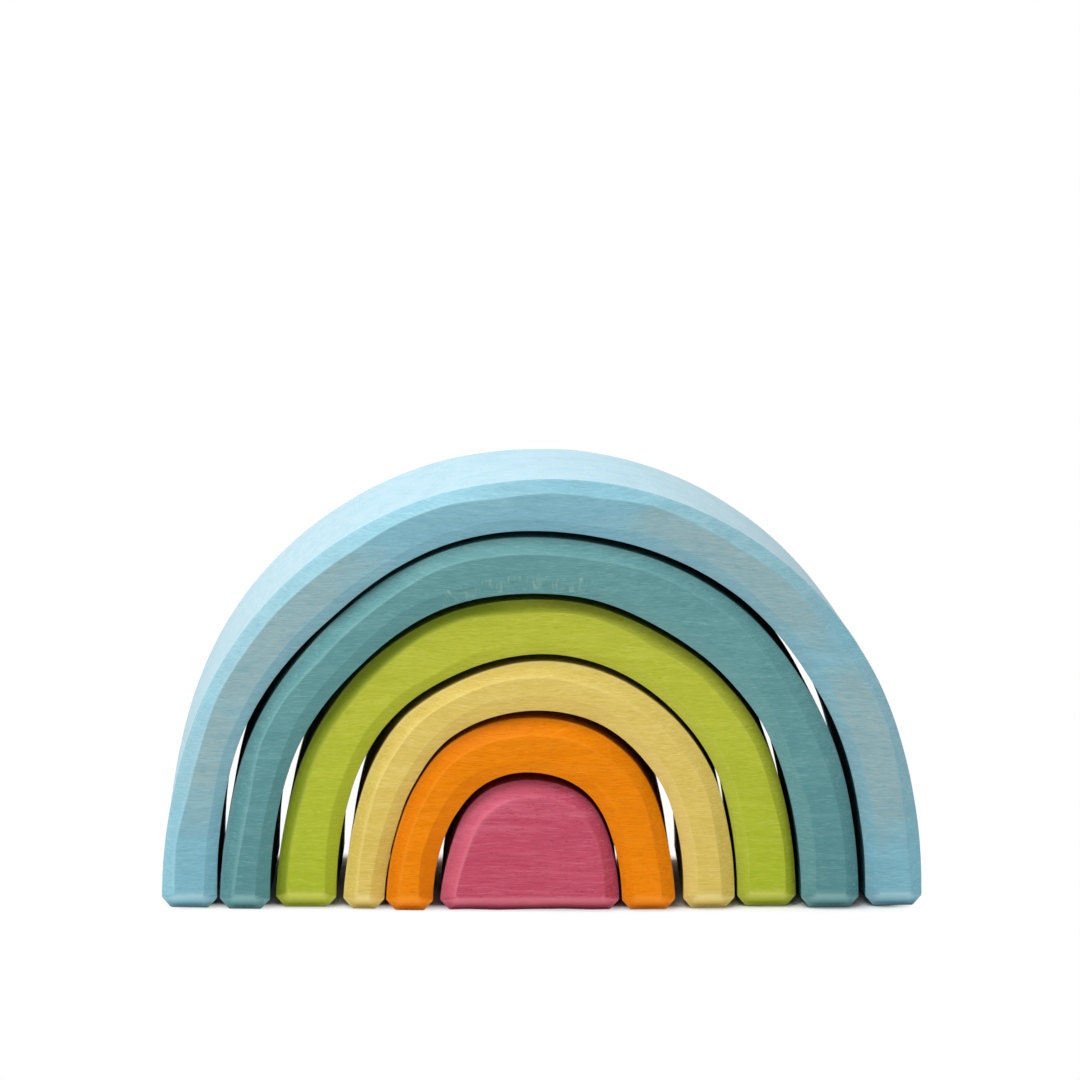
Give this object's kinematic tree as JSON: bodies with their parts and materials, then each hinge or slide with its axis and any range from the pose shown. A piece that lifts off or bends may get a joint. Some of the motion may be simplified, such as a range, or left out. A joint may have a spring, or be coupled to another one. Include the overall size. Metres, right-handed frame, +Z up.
{
  "type": "rainbow stacker",
  "caption": "Wooden rainbow stacker: bevelled, dyed lime-wood arches that nest round a half-round block and lift off one another.",
  "frame": {"origin": "middle of the set's footprint, on the table", "axes": "+X to the right across the arches, +Y from the front to the back, +Z up"},
  "size_m": [0.17, 0.054, 0.0965],
  "materials": {
    "blue_lime_wood": "light blue water-based dye, sanded and oiled",
    "teal_lime_wood": "teal water-based dye, sanded and oiled",
    "green_lime_wood": "lime green water-based dye, sanded and oiled",
    "yellow_lime_wood": "straw yellow water-based dye, sanded and oiled",
    "orange_lime_wood": "orange water-based dye, sanded and oiled",
    "pink_lime_wood": "raspberry pink water-based dye, sanded and oiled"
  },
  "bodies": {
    "pink_block": {"pink_block": "pink_lime_wood"},
    "orange_arch": {"orange_arch": "orange_lime_wood"},
    "yellow_arch": {"yellow_arch": "yellow_lime_wood"},
    "green_arch": {"green_arch": "green_lime_wood"},
    "teal_arch": {"teal_arch": "teal_lime_wood"},
    "blue_arch": {"blue_arch": "blue_lime_wood"}
  },
  "joints": [
    {"name": "orange_lift", "type": "slide", "parent": "pink_block", "child": "orange_arch", "axis": [0, 0, 1], "range_m": [0, 0.035]},
    {"name": "yellow_lift", "type": "slide", "parent": "orange_arch", "child": "yellow_arch", "axis": [0, 0, 1], "range_m": [0, 0.05]},
    {"name": "green_lift", "type": "slide", "parent": "yellow_arch", "child": "green_arch", "axis": [0, 0, 1], "range_m": [0, 0.062]},
    {"name": "teal_lift", "type": "slide", "parent": "green_arch", "child": "teal_arch", "axis": [0, 0, 1], "range_m": [0, 0.075]},
    {"name": "blue_lift", "type": "slide", "parent": "teal_arch", "child": "blue_arch", "axis": [0, 0, 1], "range_m": [0, 0.09]}
  ]
}
